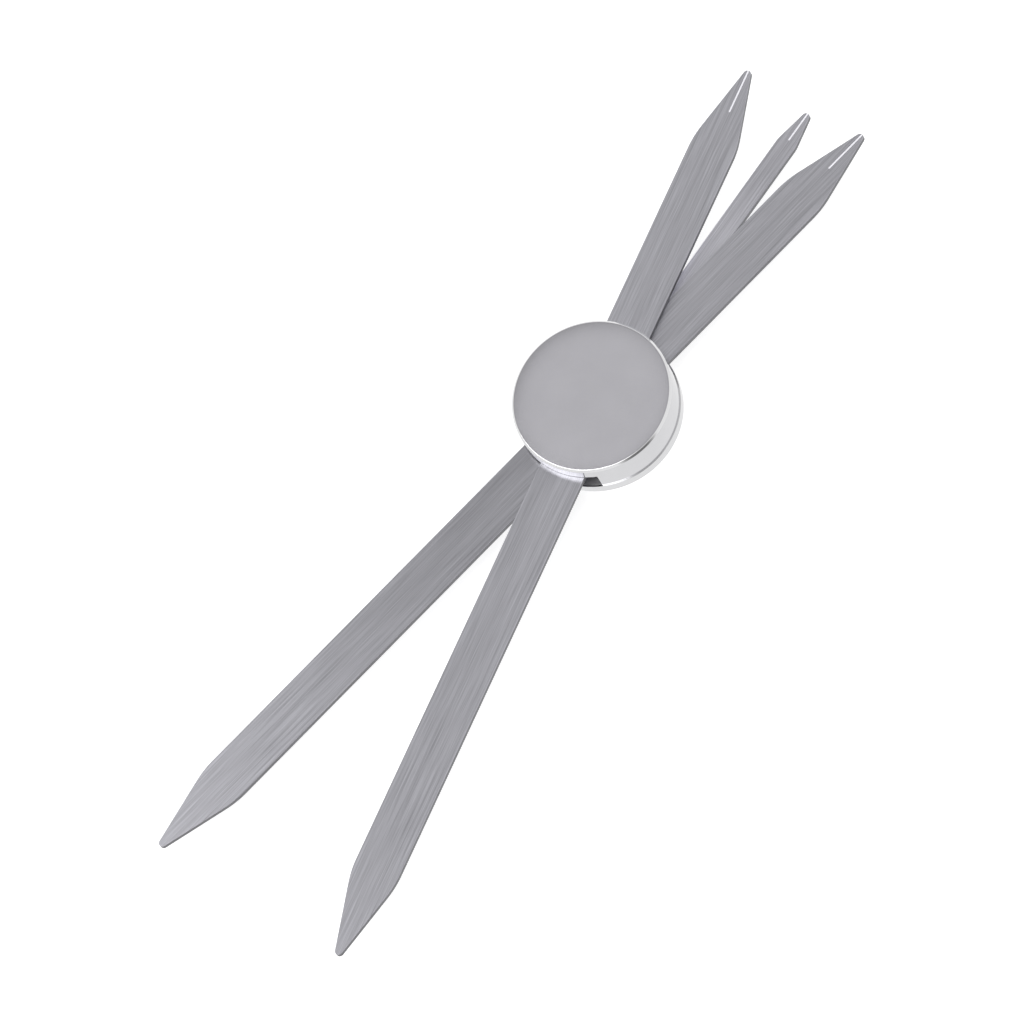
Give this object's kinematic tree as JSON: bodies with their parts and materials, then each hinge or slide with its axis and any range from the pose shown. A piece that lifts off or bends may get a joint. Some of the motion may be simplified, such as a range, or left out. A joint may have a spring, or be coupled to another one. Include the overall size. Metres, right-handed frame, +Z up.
{
  "type": "golden ratio caliper",
  "caption": "Golden ratio caliper: crossed flat steel legs and a narrow pointer on a round geared hub; both ends open together in a fixed proportion.",
  "frame": {"origin": "centre of the hub's underside, on the pivot axis", "axes": "+Z up along the pivot, +Y along the pointer towards the three-tip end"},
  "size_m": [0.0386, 0.1561, 0.008],
  "materials": {
    "case_steel": "satin roof, polished wall and rim",
    "leg_steel": "fine brushing along the bar",
    "gear_brass": "cut teeth, bare",
    "shim_bronze": "rolled strip, bare",
    "pin_steel": "ground",
    "spring_steel": "tempered"
  },
  "bodies": {
    "hub": {"top_case": "case_steel", "base_plate": "case_steel", "base_screws": "pin_steel", "pivot_pin": "pin_steel", "pointer": "leg_steel", "pointer_dowels": "pin_steel", "planet_posts": "pin_steel", "cone_spring": "spring_steel", "friction_washer": "shim_bronze", "lower_shim": "shim_bronze", "upper_shim": "shim_bronze"},
    "leg_1": {"leg_1": "leg_steel", "sun_gear": "gear_brass", "sun_rivets": "pin_steel"},
    "leg_2": {"leg_2": "leg_steel", "ring_gear": "gear_brass", "ring_pillars": "pin_steel"},
    "planet_1": {"planet_gear_1": "gear_brass"},
    "planet_2": {"planet_gear_2": "gear_brass"},
    "planet_3": {"planet_gear_3": "gear_brass"}
  },
  "joints": [
    {"name": "leg_2_swing", "type": "hinge", "parent": "hub", "child": "leg_2", "pos_m": [0, 0, 0.0041], "axis": [0, 0, -1], "range_deg": [-8.05, 5.4]},
    {"name": "leg_1_swing", "type": "hinge", "parent": "hub", "child": "leg_1", "pos_m": [0, 0, 0.00515], "axis": [0, 0, 1], "range_deg": [-13.1, 8.8]},
    {"name": "planet_1_spin", "type": "hinge", "parent": "hub", "child": "planet_1", "pos_m": [0, 0.00637, 0.00613], "axis": [0, 0, -1], "range_deg": [-42.5, 28.6]},
    {"name": "planet_2_spin", "type": "hinge", "parent": "hub", "child": "planet_2", "pos_m": [-0.00552, -0.00319, 0.00613], "axis": [0, 0, -1], "range_deg": [-42.5, 28.6]},
    {"name": "planet_3_spin", "type": "hinge", "parent": "hub", "child": "planet_3", "pos_m": [0.00552, -0.00319, 0.00613], "axis": [0, 0, -1], "range_deg": [-42.5, 28.6]}
  ],
  "couplings": [
    {"joint": "leg_1_swing", "follows": "leg_2_swing", "ratio": 1.6154},
    {"joint": "planet_1_spin", "follows": "leg_2_swing", "ratio": 5.25},
    {"joint": "planet_2_spin", "follows": "leg_2_swing", "ratio": 5.25},
    {"joint": "planet_3_spin", "follows": "leg_2_swing", "ratio": 5.25}
  ]
}
